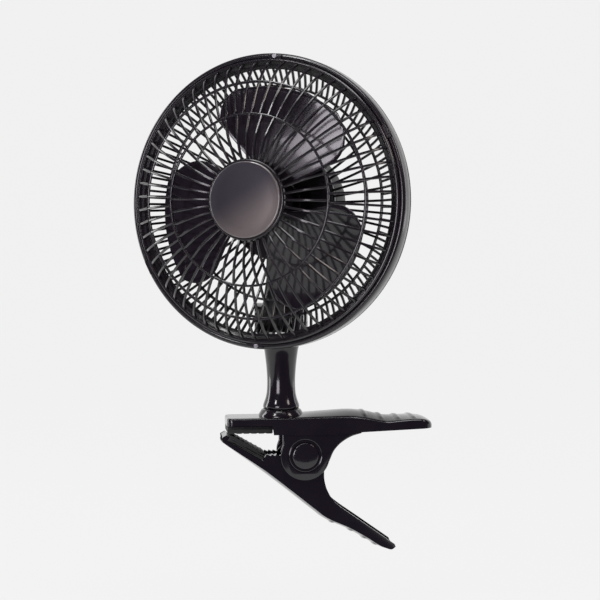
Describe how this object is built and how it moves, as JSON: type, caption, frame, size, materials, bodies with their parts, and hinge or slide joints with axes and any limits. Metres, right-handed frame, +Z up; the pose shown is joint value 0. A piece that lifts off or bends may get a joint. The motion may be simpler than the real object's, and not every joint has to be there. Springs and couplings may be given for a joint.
{
  "type": "clip-on fan",
  "caption": "Small guarded fan on a waisted stem and a spring clip, with a tilting, swivelling head and a speed knob behind the motor.",
  "frame": {"origin": "centre of the upper jaw pad's underside, the face that rests on a shelf or desk edge", "axes": "+Z up, X along the clip with the jaws at -X and the handles at +X; at rest the head faces 28 degrees from -Y towards -X"},
  "size_m": [0.1995, 0.125, 0.3308],
  "materials": {
    "gloss_black": "glossy injection-moulded ABS",
    "guard_black": "semi-gloss moulded polypropylene",
    "cover_black": "fine spark-textured ABS",
    "blade_black": "polished moulded blade plastic",
    "badge": "smoked metallic disc under clear lacquer",
    "pad_rubber": "matt moulded rubber",
    "zinc_steel": "zinc-plated steel",
    "spring_steel": "oiled music wire",
    "lamination": "stacked electrical steel",
    "bronze": "oil-filled sintered bronze",
    "copper": "enamelled copper wire",
    "nylon": "natural nylon",
    "lead_sheath": "PVC lead insulation"
  },
  "bodies": {
    "clip": {"clip_body": "gloss_black", "upper_pad": "pad_rubber", "pivot_pin": "zinc_steel", "pivot_cap_front": "gloss_black", "pivot_cap_back": "gloss_black", "torsion_spring": "spring_steel", "stem_collar": "gloss_black"},
    "jaw": {"lower_jaw": "gloss_black", "lower_pad": "pad_rubber"},
    "stem": {"stem": "gloss_black", "swivel_screw": "zinc_steel", "swivel_washer": "zinc_steel", "tilt_screw": "zinc_steel", "tilt_nut": "zinc_steel", "tilt_washer_left": "nylon", "tilt_washer_right": "nylon"},
    "head": {"front_guard": "guard_black", "hub_badge": "badge", "rear_guard": "guard_black", "motor_cover": "cover_black", "cord_gland": "pad_rubber", "stator_core": "lamination", "bobbin": "nylon", "winding": "copper", "bracket_front": "zinc_steel", "bracket_rear": "zinc_steel", "bearing_front": "bronze", "bearing_rear": "bronze", "motor_screw_1": "zinc_steel", "motor_screw_2": "zinc_steel", "cover_screw_1": "zinc_steel", "cover_screw_2": "zinc_steel", "cover_screw_3": "zinc_steel", "cover_screw_4": "zinc_steel", "guard_screw_1": "zinc_steel", "guard_screw_2": "zinc_steel", "switch_body": "nylon", "lead_1": "lead_sheath", "lead_2": "lead_sheath"},
    "rotor": {"fan_blade": "blade_black", "blade_nut": "zinc_steel", "shaft": "zinc_steel", "rotor_core": "lamination"},
    "knob": {"speed_knob": "cover_black"}
  },
  "joints": [
    {"name": "jaw_hinge", "type": "hinge", "parent": "clip", "child": "jaw", "pos_m": [0.0366, 0, -0.0149], "axis": [0, -1, 0], "range_deg": [0, 30], "stiffness_Nm_per_rad": 0.6, "springref_deg": -51.57, "deforming": ["torsion_spring"]},
    {"name": "swivel", "type": "hinge", "parent": "clip", "child": "stem", "pos_m": [0.022, 0, 0.0155], "axis": [0, 0, 1], "range_deg": [-62, 118]},
    {"name": "tilt", "type": "hinge", "parent": "stem", "child": "head", "pos_m": [0.022, 0, 0.0766], "axis": [0.8829, -0.4695, 0], "range_deg": [-60, 10]},
    {"name": "fan_spin", "type": "hinge", "parent": "head", "child": "rotor", "pos_m": [0.00886, -0.02472, 0.1536], "axis": [0.4695, 0.8829, 0], "continuous": true},
    {"name": "speed_turn", "type": "hinge", "parent": "head", "child": "knob", "pos_m": [0.04031, 0.03444, 0.1706], "axis": [0.4695, 0.8829, 0], "range_deg": [0, 90]}
  ]
}
